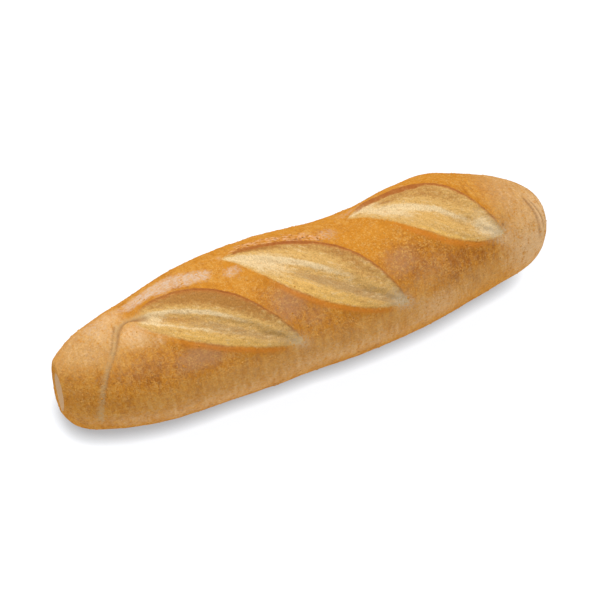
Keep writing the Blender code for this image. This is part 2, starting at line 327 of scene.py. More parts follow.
# reaches past the ear or the rim, and stretches from none to full; rimLine is its place and its reach
# rollShade and rimShade reach the painted shade on each ear's roll and below each rim; the rim line is a
# deeper orange, partly painted shade where the crust falls away past the rim
edgeLooks = {
    "crumbAtRim": inMm(0.6, -1.8), "crumbAtEar": inMm(0.15, -0.15), "crumbEnd": (1.02, 0.96),
    "lipFace": 0.3 * mm, "lipRoll": 0.15 * mm, "rollShade": 2 * mm, "splitLoss": 0.8,
    "splitEdge": inMm(-0.1, 0), "splitFade": 0.08, "flakesFrom": inMm(1, 1.8),
    "rimShade": 2.2 * mm, "rimShadeEdge": inMm(-0.3, 0.3), "rimShadeEnd": (0.93, 0.81),
    "earToastAndShadeRoll": 0.2 * mm, "earToastAndShadePale": (0.34, 0.22), "earToastAndShadeTail": (0.55, 0.85), "tailLoss": 0.45,
    "rimLine": inMm(0.9, 1.2), "rimLineStart": (0.22, 0.42), "rimLineEnd": (0.94, 0.82),
}


def bow(along, peak, lean):  # 0 at a slash's tips, 1 at peak
    t = np.clip(along, 0, 1) ** (math.log(0.5) / math.log(peak))
    return np.maximum(np.sin(math.pi * t), 0) ** lean


def waver(along, seed, waves=(9, 17, 29, 43)):  # an uneven line: a few sine waves of random phase
    phase = np.random.default_rng(seed).uniform(0, 2 * math.pi, len(waves))
    return sum(np.sin(along * 2 * math.pi * w + p) / math.sqrt(w / waves[0]) for w, p in zip(waves, phase))


def slashLine(slash):  # its length and its direction in the layout
    line = slash["end"] - slash["start"]
    return math.hypot(*line), line / math.hypot(*line)


def slashPlace(slash, x, around):  # part along, distances past the ear and the rim, strength
    length, (ux, ur) = slashLine(slash)
    dx, dr = x - slash["start"][0], around - slash["start"][1]
    along = (dx * ux + dr * ur) / length
    across = dr * ux - dx * ur
    earBow, *earShape = slash["ear"]
    rimBow, *rimShape = slash["rim"]
    strength = smoothStep(along / slashForm["tipFade"]) * smoothStep((1 - along) / slashForm["tipFade"])
    ragged = slashForm["raggedness"] * strength
    rimWaver = ragged * waver(along, slash["seed"] + 1, (5, 11, 19))
    pastEar = across - earBow * bow(along, *earShape) - ragged * waver(along, slash["seed"])
    pastRim = -rimBow * bow(along, *rimShape) - across + rimWaver
    return along, pastEar, pastRim, strength


def slideAcross(slash, x, around, distance):  # the places moved square to the slash
    ux, ur = slashLine(slash)[1]
    return x - ur * distance, around + ux * distance


def onLip(pastEar, strength):  # the nearer end of each grid line that crosses the ear
    lip = np.zeros(pastEar.shape, dtype=bool)
    for first, second in ((np.s_[:-1, :], np.s_[1:, :]), (np.s_[:, :-1], np.s_[:, 1:])):
        crosses = (pastEar[first] > 0) != (pastEar[second] > 0)
        nearer = np.abs(pastEar[first]) <= np.abs(pastEar[second])
        lip[first] |= crosses & nearer
        lip[second] |= crosses & ~nearer
    return lip & (strength > 0)


def settleLayout(x, around):  # draws the grid to the ears, a line of points on each lip
    lips = np.zeros(x.shape, dtype=bool)
    reach, power = slashForm["gatherReach"], slashForm["gatherPower"]
    for slash in slashes:
        along, pastEar, _, strength = slashPlace(slash, x, around)
        lip = onLip(pastEar, strength)
        near = np.minimum(np.abs(pastEar) / reach, 1)
        pull = np.sign(pastEar) * reach * (near ** power - near) * strength
        face = changing(slash["wall"], along, slashForm["lipChange"])
        wall = np.where(pastEar < 0, -face * (1 - near) * strength, 0)
        x, around = slideAcross(slash, x, around, np.where(lip, -pastEar, pull + wall))
        for _ in range(slashForm["settlings"]):
            pastEar = slashPlace(slash, x, around)[1]
            x, around = slideAcross(slash, x, around, np.where(lip, -pastEar, 0))
        lips |= lip
    return x, around, lips


def edgeMasks(slash, place, wall):  # how much of each look of a slash's edges there is
    along, pastEar, pastRim, strength = place
    e = edgeLooks
    begin, finish, flakyReach, flaky = slash["flaky"]
    split = fallOff(pastEar, flakyReach, 3) * between(pastEar, *e["splitEdge"])
    split *= smoothStep((along - begin) / e["splitFade"]) * smoothStep((finish - along) / e["splitFade"])
    # the lip line is partly the ear edge's toasted colour and partly painted shade in the crevice under the
    # lip
    lip = fallOff(-pastEar - wall, e["lipFace"]) * fallOff(pastEar, e["lipRoll"])
    ink = np.interp(along, np.linspace(0, 1, len(slash["ink"])), slash["ink"])
    roll = fallOff(pastEar, e["rollShade"]) * between(-pastEar, *e["crumbAtEar"])
    underRim = fallOff(pastRim, e["rimShade"], 1.5) * between(pastRim, *e["rimShadeEdge"])
    earToastAndShadeReach, earToastAndShadeAmount = slash["earToastAndShade"]
    earToastAndShade = fallOff(-pastEar, earToastAndShadeReach, 1.6) * fallOff(pastEar, e["earToastAndShadeRoll"])
    earToastAndShade *= (1 - slash["paleStart"] * between(along, *e["earToastAndShadePale"])
             - e["tailLoss"] * between(along, *e["earToastAndShadeTail"]))
    lineAt, lineReach = e["rimLine"]
    line = softPatch((pastRim - lineAt) / lineReach, 0, 2.4)
    smearAt, smearReach, smearSide, smear = slash["smear"]
    beyond = (along - smearAt) * slashLine(slash)[0]
    # earShade and rimShade are painted shade; the lip line, the band under the ear and the rim line are
    # partly painted shade; flaky and smear are the crust's own
    return {
        "lip": strength * lip * ink,
        "earShade": strength * roll * (1 - e["splitLoss"] * split),
        "rimShade": strength * underRim * between(along, *e["rimShadeEnd"]),
        "earToastAndShade": strength * earToastAndShadeAmount * earToastAndShade,
        "rimLine": line * between(along, *e["rimLineStart"]) * between(along, *e["rimLineEnd"]),
        "flaky": flaky * split,
        "flakeBed": flaky * split * between(pastEar, *e["flakesFrom"]),
        "smear": smear * softPatch(beyond / smearReach, 0.5 * (pastEar - pastRim) / smearSide, 2.4),
    }


def slashRelief(x, around):  # height and lean of the slashed skin, and masks for its looks
    height, lean = np.zeros_like(x), np.zeros_like(x)
    looks = {"streak": np.zeros(x.shape + (3,))}
    f, e = slashForm, edgeLooks
    for number, slash in enumerate(slashes):
        place = slashPlace(slash, x, around)
        along, pastEar, pastRim, strength = place
        width = np.maximum(-pastEar - pastRim, f["onLip"])
        across = np.clip(-pastRim / width, 0, 1)  # 0 at the rim, 1 at the ear
        foot = slash["lift"] - changing(slash["drop"], along, f["lipChange"])
        wall = changing(slash["wall"], along, f["lipChange"])
        swell = f["crumbSwell"]
        wander = np.clip(across + f["wander"] * waver(along, slash["seed"] + 2, (3, 7, 13)), 0, 1)
        levels = np.array([f["rimEdge"], f["rimCrest"], -slash["valley"], swell, swell, swell])
        crumb = smoothCurve(wander, f["places"], levels)
        crumb = swell + (crumb - swell) * smoothStep(width / f["fullWidth"])
        crumb += (foot - swell) * between(across, f["shelf"], 1)
        inside = np.where(pastRim > 0, f["rimEdge"] * fallOff(pastRim, f["rimSlope"]), crumb)
        far = slash["lift"] * fallOff(pastEar, slash["slope"], 1)
        onFar = smoothStep(1 + (pastEar + f["onLip"]) / wall)
        height += strength * (inside + (far - inside) * onFar)
        overhang = np.exp(-(pastEar / f["leanReach"]) ** 2)
        lean += strength * f["lean"] * overhang * (2 * onFar - 1)

        inLeaf = between(pastRim, *e["crumbAtRim"]) * between(pastEar, *e["crumbAtEar"])
        inLeaf *= smoothStep(along / slash["opening"]) * between(along, *e["crumbEnd"])
        masks = edgeMasks(slash, place, wall)
        keepMost(looks, {"crumb": inLeaf, **masks})
        for kind, patches in slash["tones"].items():
            looks[kind] = looks.get(kind, 0) + inLeaf * sum(patchesOver(patches, along, across))
        within = ((inLeaf > f["faintest"]) | (masks["flaky"] > f["faintest"] * slash["flaky"][3]))[..., None]
        run = [along * slashLine(slash)[0], -pastRim, np.full_like(x, number * f["grainApart"])]
        looks["streak"] = np.where(within, np.stack(run, axis=-1), looks["streak"])
    return height, lean, looks


# the ends: a fold round the left one, a pale pressed spot on its tip, and fine folds on both.
# wall, trough: how far the hollow reaches on the one side and on the other;  bulge: swelling beyond the wall
# band, creaseShade: half widths of the pale band and of the dark line, a painted shade along the fold's step,
# at the start and at the end
# darkTo, darkness: how far along it the line goes, and how strong it is

leftFold = {
    "x": inMm(-66, -70, -74, -77.5, -80.5, -83.3, -86.5, -89.5, -92.6, -94.6, -95.2),
    "around": inMm(0, 2.6, 5, 4.2, 0, -6, -12, -18, -27, -38, -48),
    "depth": 0.7 * mm, "trough": 3 * mm, "wall": 0.9 * mm, "bulge": 0.6 * mm, "bulgeReach": 7 * mm,
    "band": inMm(2.8, 2.1), "creaseShade": inMm(1.1, 0.5), "darkTo": 0.98, "darkness": 1,
}
smallFold = {"trough": 1 * mm, "wall": 0.4 * mm, "bulge": 0.3 * mm, "bulgeReach": 2 * mm,
             "creaseShade": inMm(0.5, 0.5), "darkTo": 1.1, "darkness": 0.85}
smallFolds = [
    {**smallFold, "depth": 0.34 * mm, "x": inMm(100.5, 102.2, 103.2, 103.2, 102.4),
     "around": inMm(-4, -12, -20, -28, -38)},
    {**smallFold, "depth": 0.22 * mm, "x": inMm(102.6, 104.6, 105.6, 105.4),
     "around": inMm(-6, -15, -24, -34), "trough": 0.8 * mm, "creaseShade": inMm(0.35, 0.35)},
    {**smallFold, "depth": 0.35 * mm, "x": inMm(-79.5, -82, -85, -88),
     "around": inMm(7, 2, -5, -12), "bulge": 0.2 * mm, "darkTo": 0.9},
]
foldForm = {"samples": 80, "tipFade": 0.2, "lookFade": 0.08, "change": (0.3, 0.55), "darkFade": 0.25}
kissSpot = {"centre": inMm(-107.9, 0, 20), "facing": np.array([-0.965, 0.166, 0.035]),
            "hollow": 1.2 * mm, "radius": 10 * mm, "edge": 0.83, "paleEdge": 0.3, "paleDepth": 1.2 * mm}


def foldShape(fold, x, around):  # height beside a fold, and masks for its line and band
    f = foldForm
    step = np.arange(len(fold["x"]), dtype=float)
    t = np.linspace(0, step[-1], f["samples"])
    lineX, lineAround = smoothCurve(t, step, fold["x"]), smoothCurve(t, step, fold["around"])
    nearest = np.full_like(x, np.inf)
    side, place = np.zeros_like(x), np.zeros_like(x)
    slopes = np.gradient(lineX), np.gradient(lineAround)
    for part, fx, fa, tx, ta in zip(t / t[-1], lineX, lineAround, *slopes):
        away = np.hypot(x - fx, around - fa)
        closer = away < nearest
        nearest = np.where(closer, away, nearest)
        side = np.where(closer, tx * (around - fa) - ta * (x - fx), side)
        place = np.where(closer, part, place)
    strength = smoothStep(place / f["tipFade"]) * smoothStep((1 - place) / f["tipFade"])
    wall = fallOff(nearest, fold["wall"])
    bulge = fold["bulge"] * (1 - wall) * fallOff(nearest, fold["bulgeReach"])
    trough = fallOff(nearest, fold["trough"])
    height = strength * np.where(side > 0, bulge - fold["depth"] * wall, -fold["depth"] * trough)
    shown = smoothStep(place / f["lookFade"])
    # the dark line is painted shade along the fold's step
    dark = fallOff(nearest, changing(fold["creaseShade"], place, f["change"])) * shown
    masks = {"creaseShade": fold["darkness"] * dark * smoothStep((fold["darkTo"] - place) / f["darkFade"])}
    if "band" in fold:
        band = fallOff(nearest, changing(fold["band"], place, f["change"]), 4)
        masks["fold"] = np.where(side > 0, 0, band) * shown
    return height, masks


def pressKiss(points):
    k = kissSpot
    facing = k["facing"] / np.linalg.norm(k["facing"])
    offset = points - k["centre"]
    out = offset @ facing
    aside = np.linalg.norm(offset - out[..., None] * facing, axis=-1) / k["radius"]
    out += k["hollow"] * smoothStep(1 - aside)
    excess = np.maximum(out, 0) * smoothStep((1 - aside) / k["edge"] + 1)
    mask = smoothStep((1 - aside) / k["paleEdge"]) * smoothStep(0.5 + out / k["paleDepth"])
    return points - excess[..., None] * facing, mask


# which faces of the upper side count as turned over, and how often their points are eased back
easing = {"upperSide": 28 * mm, "turned": -0.25, "passes": 6}


def loafSurface():  # the points, which of them lie on a lip, and the looks
    b = loafBody
    turn = np.linspace(0, math.pi, b["columns"] + 1)[1:-1]
    t = np.linspace(-math.pi, math.pi, b["rows"], endpoint=False)
    x, around = np.meshgrid(-np.cos(turn) * b["length"] / 2,
                            b["roundRadius"] * (t - b["crestDensity"] * np.sin(t)), indexing="ij")
    x, around, lips = settleLayout(x, around)
    step = 0.2 * mm
    alongStep = bodyPoint(x + step, around) - bodyPoint(x - step, around)
    aboutStep = bodyPoint(x, around + step) - bodyPoint(x, around - step)
    normal = unit(np.cross(alongStep, aboutStep))
    alongStep, aboutStep = unit(alongStep), unit(aboutStep)
    height, lean, looks = slashRelief(x, around)
    for fold in [leftFold] + smallFolds:
        rise, masks = foldShape(fold, x, around)
        height += rise
        keepMost(looks, masks)
    points = bodyPoint(x, around) + normal * height[..., None] - aboutStep * lean[..., None]
    points, looks["kiss"] = pressKiss(points)
    points[..., 2] = np.maximum(points[..., 2], 0)
    looks["layout"] = np.stack([x, around, np.zeros_like(x)], axis=-1)
    runAlong, runAbout = slashForm["flakeRun"]
    looks["run"] = alongStep * runAlong + aboutStep * runAbout
    looks["outward"] = normal * (np.abs(around) < easing["upperSide"])[..., None]
    return points, lips, looks


def makeLoaf():
    points, lips, looks = loafSurface()
    columns, rows = lips.shape
    verts = np.concatenate([points.reshape(-1, 3), [points[0].mean(axis=0), points[-1].mean(axis=0)]])
    low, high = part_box("loaf")
    middle = (verts.min(axis=0) + verts.max(axis=0)) / 2  # the solid's own middle is the origin
    verts -= (middle[0] - (low[0] + high[0]) / 2, middle[1] - (low[1] + high[1]) / 2, verts[:, 2].min())

    faces = []
    for i in range(columns - 1):
        for j in range(rows):
            k = (j + 1) % rows
            a, b, c, d = i * rows + j, (i + 1) * rows + j, (i + 1) * rows + k, i * rows + k
            if lips[i, j] and lips[i + 1, k]:
                faces += [(a, b, c), (a, c, d)]
            else:
                faces += [(a, b, d), (b, c, d)]
    leftTip, rightTip, last = columns * rows, columns * rows + 1, (columns - 1) * rows
    for j in range(rows):
        k = (j + 1) % rows
        faces += [(leftTip, j, k), (rightTip, last + k, last + j)]
    mesh = bpy.data.meshes.new("loaf")
    mesh.from_pydata(verts.tolist(), [], faces)
    mesh.shade_smooth()
    for name, values in looks.items():
        flat = values.reshape(columns * rows, -1)
        flat = np.concatenate([flat, flat[:rows].mean(axis=0)[None], flat[-rows:].mean(axis=0)[None]])
        kind, key = ("FLOAT_VECTOR", "vector") if flat.shape[1] == 3 else ("FLOAT", "value")
        mesh.attributes.new(name, kind, "POINT").data.foreach_set(key, flat.ravel())
    return newPiece("crustAndCrumb", mesh)


loaf = makeLoaf()
print("loaf shaped:", len(loaf.data.polygons), "faces")


# the skin's finer relief, by nodes that push the loaf's points along their normals

skinRelief = {
    "Dent Height": 0.45 * mm, "Dent Size": 15 * mm,
    "Ripple Height": 0.14 * mm, "Ripple Size": 2.6 * mm,
    "Crumb Lump Height": 0.5 * mm, "Crumb Lump Size": 2.2 * mm, "Crumb Stretch": 2.2,
    "Pore Depth": 0.2 * mm, "Pore Size": 1.3 * mm,
    "Blister Height": 0.2 * mm, "Blister Size": 1.7 * mm,
    "Wrinkle Height": 0.32 * mm, "Wrinkle Size": 1.1 * mm, "Wrinkle Stretch": 3.0,
}


def buildSkinRelief():
    tree, given = shapeTree("skinRelief", skinRelief)
    place = result("GeometryNodeInputPosition", {}, tree)
    crumb = named(tree, "crumb")
    crust = calc("SUBTRACT", 1, crumb)
    streak = named(tree, "streak", "FLOAT_VECTOR")
    grainParts = partsOf(streak)

    def lumpy(vector, what, detail):  # noise about nought, of the size and height given for it
        noise = calc("SUBTRACT", grain(vector, given[what + " Size"], detail), 0.5)
        return times(noise, times(given[what + " Height"], 2))

    def drawnOut(stretch):  # the place within a slash, longer along it
        return combined(calc("DIVIDE", grainParts[0], given[stretch]), grainParts[1], grainParts[2])

    dents = lumpy(place, "Dent", 1)
    ripple = times(lumpy(place, "Ripple", 2), crust)

    squeezed = drawnOut("Crumb Stretch")
    pores = span(cells(squeezed, given["Pore Size"])["Distance"], 0, 0.45, 1, 0)
    lumps = calc("SUBTRACT", lumpy(squeezed, "Crumb Lump", 2.5), times(pores, given["Pore Depth"]))
    lumps = times(lumps, crumb)

    blisterCells = cells(place, given["Blister Size"])
    domes = span(blisterCells["Distance"], 0.1, 0.42, 1, 0)
    chosen = span(partsOf(blisterCells["Color"])[0], 0.45, 0.75)
    blisters = times(times(domes, chosen), times(given["Blister Height"], crust))
    blisters = times(blisters, span(named(tree, "fleck"), 0, 1, 0.5, 1.4))

    wrinkles = times(lumpy(drawnOut("Wrinkle Stretch"), "Wrinkle", 1.5), named(tree, "flaky"))

    height = add(add(dents, ripple), add(lumps, blisters))
    height = add(height, wrinkles)
    height = times(height, span(partsOf(place)[2], 0.3 * mm, 5 * mm))  # flat base
    height = times(height, span(named(tree, "lip"), 0.9, 0.2, 0.25, 1))
    offset = scaled(result("GeometryNodeInputNormal", {}, tree), height)
    moved = result("GeometryNodeSetPosition", {"Geometry": given["Geometry"], "Offset": offset})
    return finishTree(moved, given["Material"])


# materials

colours = {  # linear red, green, blue; those of the crust, then those of the crumb
    "tan": (0.6, 0.355, 0.142, 1), "gold": (0.6, 0.285, 0.055, 1), "amber": (0.53, 0.21, 0.026, 1),
    # the pale pinkish blush is a painted highlight, and the rose partly a painted sheen
    "brown": (0.33, 0.11, 0.016, 1), "paintedHighlight": (0.65, 0.465, 0.325, 1), "roseAndSheen": (0.45, 0.225, 0.1, 1),
    "orange": (0.57, 0.225, 0.022, 1), "lip": (0.37, 0.108, 0.024, 1), "earToastAndShade": (0.42, 0.155, 0.036, 1),
    "thread": (0.66, 0.37, 0.115, 1), "fleck": (0.78, 0.46, 0.12, 1), "speck": (0.13, 0.045, 0.015, 1),
    "flake": (0.71, 0.385, 0.175, 1), "split": (0.4, 0.11, 0.028, 1), "fold": (0.55, 0.36, 0.165, 1),
    "creaseShade": (0.32, 0.16, 0.062, 1), "kiss": (0.58, 0.37, 0.2, 1), "pale": (0.74, 0.48, 0.25, 1),
    "rim": (0.58, 0.19, 0.024, 1),
    "crumb": (0.61, 0.365, 0.118, 1), "cream": (0.72, 0.535, 0.29, 1), "toastAndShade": (0.39, 0.18, 0.045, 1),
    "ash": (0.44, 0.27, 0.108, 1), "straw": (0.71, 0.42, 0.115, 1), "flour": (0.62, 0.475, 0.3, 1),
}
patternSize = {  # about how large the features of each pattern are
    "blotch": 9 * mm, "clot": 1.9 * mm, "freckle": 0.6 * mm, "fleck": 1.45 * mm, "warp": 2 * mm,
    "thread": 1.5 * mm, "threadPatch": 3 * mm, "breakUp": 2.6 * mm, "clump": 1.3 * mm, "tuft": 0.55 * mm,
    "run": 1.4 * mm, "band": 3.4 * mm, "mark": 0.9 * mm, "wrinkle": 0.9 * mm, "speck": 12.7 * mm,
    "fibre": 1.6 * mm, "dapple": 1.1 * mm, "pinhole": 1.1 * mm, "pebble": 0.9 * mm, "crumb": 0.8 * mm,
}

crustTones = {  # soft patches: x, around (both in mm), reach along x, reach around, strength
    # gloss: glossy patches; their coat shines for real, and a pale pinkish painted highlight is mixed into
    # their colour
    "glossAndPaintedHighlight": [(-61, 15.4, 13, 4.8, 1), (-52, 12.5, 8, 5, 1), (-45, 9.5, 5.5, 4, 1),
              (-39.5, 8, 4, 3.5, 1), (-28, 3.5, 4, 3, 0.6), (-88, 13, 6, 9, 0.4), (4, 9, 8, 4, 0.4),
              (31, 18, 8, 4, 0.3), (16, 7, 5, 5, 0.4)],
    # rose: pinkish patches, the crust's own rosy tone and, on the near flank below the slashes, a painted
    # sheen of the lamps
    "roseAndSheen": [(-54, -24.5, 13, 6, 0.9), (-13, -17, 9, 8, 0.8), (-22, -10, 6, 4, 0.2),
             (38, -17, 9, 7, 0.7), (49, -24, 11, 6, 0.45), (62, -29, 12, 6, 0.2), (-76, -20, 16, 8, 0.4),
             (-5, -25, 7, 6, 0.5), (94, -6, 9, 14, 0.35), (-98, 13, 5, 8, 0.4), (-92, -4, 4, 7, 0.4),
             (74, 41, 14, 8, 0.5)],
    "tan": [(-93, 4, 17, 20, 0.85), (-72, -7, 11, 6, 0.7), (101, -10, 17, 60, 0.78),
            (-104, 0, 8, 60, 0.25), (60, -42, 50, 10, 0.5), (-60, -47, 60, 9, 0.35), (90, -28, 8, 8, 0.5),
            (40, -38, 9, 7, 0.5), (46, -30, 16, 6, 0.35), (0, -44, 100, 13, 0.5), (0, 53, 100, 14, 0.5),
            (101, 64, 17, 38, 0.85)],
    # pale: paler crust; but (101, -39), (99, -24) and (106.5, -22) are painted light on the right end's lower
    # side, which the lamps leave darker, and (-28.4, 14.8) is a painted highlight at the second slash's start
    "pale": [(101, -39, 15, 15, 0.8), (99, -24, 8, 12, 0.4), (88, -29, 6, 4, 0.4), (-74, -3, 7, 6, 0.8),
             (-66, -10, 6, 3, 0.5), (-80, 14, 6, 9, 0.6), (-84, 5, 6, 6, 0.5), (106.5, -22, 5, 25, 1),
             (48, -44, 13, 8, 0.5), (14, -48, 24, 5, 0.4), (-8, -47, 20, 6, 0.4), (-60, -51, 50, 8, 0.4),
             (-28.4, 14.8, 1, 2.4, 0.6)],
    # brown: darker crust; (98, 4) is painted shade on the right end's top, which the lamps light more
    "brown": [(-62, -24, 32, 9, 0.18), (64, -29, 18, 11, 0.3), (-12, -17, 13, 11, 0.3),
              (44, -19, 15, 10, 0.3), (-66, 10, 8, 3, 0.2), (98, 4, 12, 12, 0.25),
              (6, -31, 12, 6, 0.16), (38, 40, 26, 8, 0.22), (-52, 37, 20, 7, 0.18), (-10, 44, 16, 6, 0.14)],
    "amber": [(-36, -6, 10, 8, 0.6), (20, -4, 14, 12, 0.8), (34, 2, 14, 9, 0.7), (-66, 9.5, 9, 3.2, 1),
              (66, 18, 22, 12, 0.9), (10, 24, 62, 10, 0.85), (-27, 8, 4, 5, 0.8), (-22, -2, 8, 6, 0.5)],
    "fleck": [(38, -5, 26, 20, 1), (-22, -5, 24, 14, 0.7), (72, 12, 22, 12, 0.7), (-20, 33, 60, 10, 0.6)],
    # hole: a small dark spot, the painted shade of a hole in the crust
    "hole": [(87, -21, 0.6, 0.55, 0.6)],
}
# the crust's browning, with painted shade added to it on each ear's roll and below each rim; how it is paler
# low down, and where it blisters
crustBakeAndShade = {"browningAndShade": 0.56, "earShadeDarkening": 0.2, "rimShadeDarkening": 0.1, "amberInEdgeShade": 0.8,
             "paleBelow": 14, "paleBelowReach": 12, "paleBelowLoss": 0.14,  # heights in mm
             "blistersFrom": 3, "blistersReach": 6, "fewestBlisters": 0.25}


def mixColour(factor, first, second):
    return put("ShaderNodeMix", {0: factor, 6: first, 7: second}, data_type="RGBA").outputs[2]


def layered(colour, layers):  # each (amount, colour) goes over the ones before it
    for amount, name in layers:
        colour = mixColour(amount, colour, colours[name])
    return colour


def attributeOf(tree, name, output="Fac"):
    return put("ShaderNodeAttribute", {}, tree, attribute_name=name).outputs[output]


def drawnAlong(tree, name, scale):  # a place from an attribute, for a pattern drawn out one way
    return result("ShaderNodeMapping", {"Vector": attributeOf(tree, name, "Vector"), "Scale": scale})


def edged(name, uneven, share, low=0, high=1, most=1):  # a mask with an uneven edge
    return span(add(attributeOf(uneven.id_data, name), uneven, share), low, high, 0, most)


def varied(name, uneven, low, high, least, most):  # a mask that is fainter in places
    return times(attributeOf(uneven.id_data, name), span(uneven, low, high, least, most))


def buildMottle():  # browning in blotches and freckles, with pale threads and flecks over it
    tree, given = newTree("crustMottle", "Shader",
                          {"Vector": "Vector", "BrowningAndShade": 0.5, "Blotch": 0.2, "Clump": 0.2, "Freckle": 0.2},
                          {"Color": "Color", "Fleck": "Float", "Thread": "Float"})
    where = given["Vector"]
    level = add(given["BrowningAndShade"], wobble(where, "blotch"), given["Blotch"])
    level = add(level, wobble(where, "clot", 2, 0.6), given["Clump"])
    level = add(level, wobble(where, "freckle", 2, 0.6), given["Freckle"])
    ramp = put("ShaderNodeValToRGB", {0: level})
    stops = [(0, "tan"), (0.33, "gold"), (0.62, "amber"), (1, "brown")]
    for _ in range(len(stops) - 2):
        ramp.color_ramp.elements.new(0.5)
    for element, (at, name) in zip(ramp.color_ramp.elements, stops):
        element.position = at
        element.color = colours[name]
    warp = put("ShaderNodeTexNoise", {"Vector": where, "Scale": perMetre("warp"), "Detail": 1})
    bent = result("ShaderNodeVectorMath", {0: warp.outputs["Color"], 1: [1.6 * mm] * 3, 2: where},
                  operation="MULTIPLY_ADD")
    fleckCells = cells(bent, "fleck")
    flecks = span(fleckCells["Distance"], 0.16, 0.42, 1, 0)
    pick = result("ShaderNodeSeparateColor", {0: fleckCells["Color"]})
    curl = calc("ABSOLUTE", wobble(bent, "thread", 1))  # nought along winding lines
    threads = times(span(curl, 0.04, 0.3, 1, 0),
                    span(wobble(where, "threadPatch", 1), -0.4, 0.5))
    put("NodeGroupOutput", {"Color": ramp.outputs[0], "Thread": threads,
                            "Fleck": times(flecks, span(pick, 0.3, 0.6))})
    return tree


def buildSkinGrain():  # the fine pebbly skin, as a height for a Bump node
    tree, given = newTree("skinGrain", "Shader", {"Vector": "Vector", "Size": 0.8 * mm}, {"Height": "Float"})
    fine = grain(given["Vector"], given["Size"], 3, 0.6)
    pebble = cells(given["Vector"], given["Size"], "SMOOTH_F1")["Distance"]
    put("NodeGroupOutput", {"Height": add(fine, pebble, -0.6)})
    return tree


mottleGroup = buildMottle()
grainGroup = buildSkinGrain()


def useGroup(group, inputs):
    return put("ShaderNodeGroup", inputs, node_tree=group).outputs


def startMaterial(name, roughness, specular):
    material = bpy.data.materials.new(name)
    material.use_nodes = True
    tree = material.node_tree
    shader = tree.nodes["Principled BSDF"]
    feed(shader, {"Roughness": roughness, "Specular IOR Level": specular})
    return material, tree, shader, put("ShaderNodeTexCoord", {}, tree).outputs["Object"]


def paintCrust():  # how brown, how shiny, how pale each place on the crust is
    mesh = loaf.data

    def read(name):
        return readOut(mesh.attributes[name].data, "value")[:, 0].astype(float)

    x, around, _ = readOut(mesh.attributes["layout"].data, "vector", 3).astype(float).T / mm
    z = readOut(mesh.vertices, "co", 3)[:, 2] / mm
    tones = {kind: np.max(patchesOver(patches, x, around), axis=0) for kind, patches in crustTones.items()}
    b = crustBakeAndShade
    # painted shade: the crust is browned darker and more amber on each ear's roll and below each rim
    ears, rims = read("earShade"), read("rimShade")
    browningAndShade = b["browningAndShade"] + tones.pop("brown") + b["earShadeDarkening"] * ears + b["rimShadeDarkening"] * rims
    browningAndShade -= b["paleBelowLoss"] * smoothStep((b["paleBelow"] - z) / b["paleBelowReach"])
    keepMost(tones, {"amber": b["amberInEdgeShade"] * np.maximum(ears, rims)})
    bare = 1 - np.clip(read("crumb") + read("earToastAndShade") + read("kiss"), 0, 1)
    rough = b["fewestBlisters"] + (1 - b["fewestBlisters"]) * tones["fleck"]
    tones["blister"] = rough * bare * smoothStep((z - b["blistersFrom"]) / b["blistersReach"])
    for name, values in {"browningAndShade": browningAndShade, **tones}.items():
        mesh.attributes.new(name, "FLOAT", "POINT").data.foreach_set("value", values.astype(np.float32))


def paintSkin(where, breakUp, clump, tuft):  # the crust's colour, and how glossy it is
    tree = where.id_data
    runs = drawnAlong(tree, "layout", (1, 0.22, 1))  # round the loaf
    marks = wobble(runs, "run")
    streaks = add(marks, wobble(runs, "band", 2, 0.6), 0.8)
    flecky = attributeOf(tree, "fleck")
    browningAndShade = add(attributeOf(tree, "browningAndShade"), streaks, span(flecky, 0, 1, 0.2, 0.06))
    mottle = useGroup(mottleGroup, {"Vector": where, "BrowningAndShade": browningAndShade,
                                    "Blotch": 0.1, "Clump": 0.16, "Freckle": 0.17})
    lumps = add(clump, breakUp)
    glossAndPaintedHighlight = edged("glossAndPaintedHighlight", add(tuft, clump), 0.13, 0.1, 0.8)
    scales = span(add(lumps, marks, 0.8), -1.1, 1, 0.34, 0.94)
    light = span(add(attributeOf(tree, "tan"), attributeOf(tree, "pale")), 0.2, 0.9)
    spots = add(wobble(where, "mark", 2, 0.65), streaks, 0.7)
    skin = layered(mottle["Color"], [
        (edged("tan", add(clump, marks), 0.12, most=0.85), "tan"),
        (edged("pale", lumps, 0.12, most=0.85), "pale"),
        # amber: the crust's amber patches, and painted shade on the ears' rolls and below the rims
        (varied("amber", clump, -0.8, 0.8, 0.62, 0.9), "orange"),
        # rosy patches, on the near flank partly a painted sheen
        (edged("roseAndSheen", lumps, 0.12, most=0.8), "roseAndSheen"),
        # a painted highlight, pale pinkish, broken up into scales over the glossy patches
        (times(glossAndPaintedHighlight, scales), "paintedHighlight"),
        (times(mottle["Thread"], 0.45), "thread"),
        (times(mottle["Fleck"], span(flecky, 0, 1, 0.1, 0.28)), "fleck"),
        (times(span(spots, 0.1, 1.1, 0, 0.7), light), "amber"),
        (times(span(spots, -0.1, -1.1, 0, 0.5), light), "pale"),
    ])
    skin = scaled(skin, span(add(tuft, clump, 0.6), -1, 1, 1.11, 0.89, "LINEAR"))

    wrinkle = wobble(drawnAlong(tree, "streak", (0.3, 1, 1)), "wrinkle")
    specks = cells(where, "speck")["Distance"]
    skin = layered(skin, [
        # over the flaky zone: red-brown splits, and pinkish flakes whose colour partly paints the wrinkles'
        # highlights
        (varied("flaky", wrinkle, 0.05, 0.45, 0, 0.6), "split"),
        (varied("flaky", wrinkle, 0, -0.45, 0, 0.95), "flake"),
        (edged("kiss", clump, 0.18, 0.3, 0.7), "kiss"),
        # rim line: a deeper orange line past each rim, partly painted shade
        (varied("rimLine", clump, -0.8, 0.8, 0.55, 0.85), "rim"),
        (span(specks, 0.02, 0.04, 0.5, 0), "speck"),
    ])
    return skin, glossAndPaintedHighlight


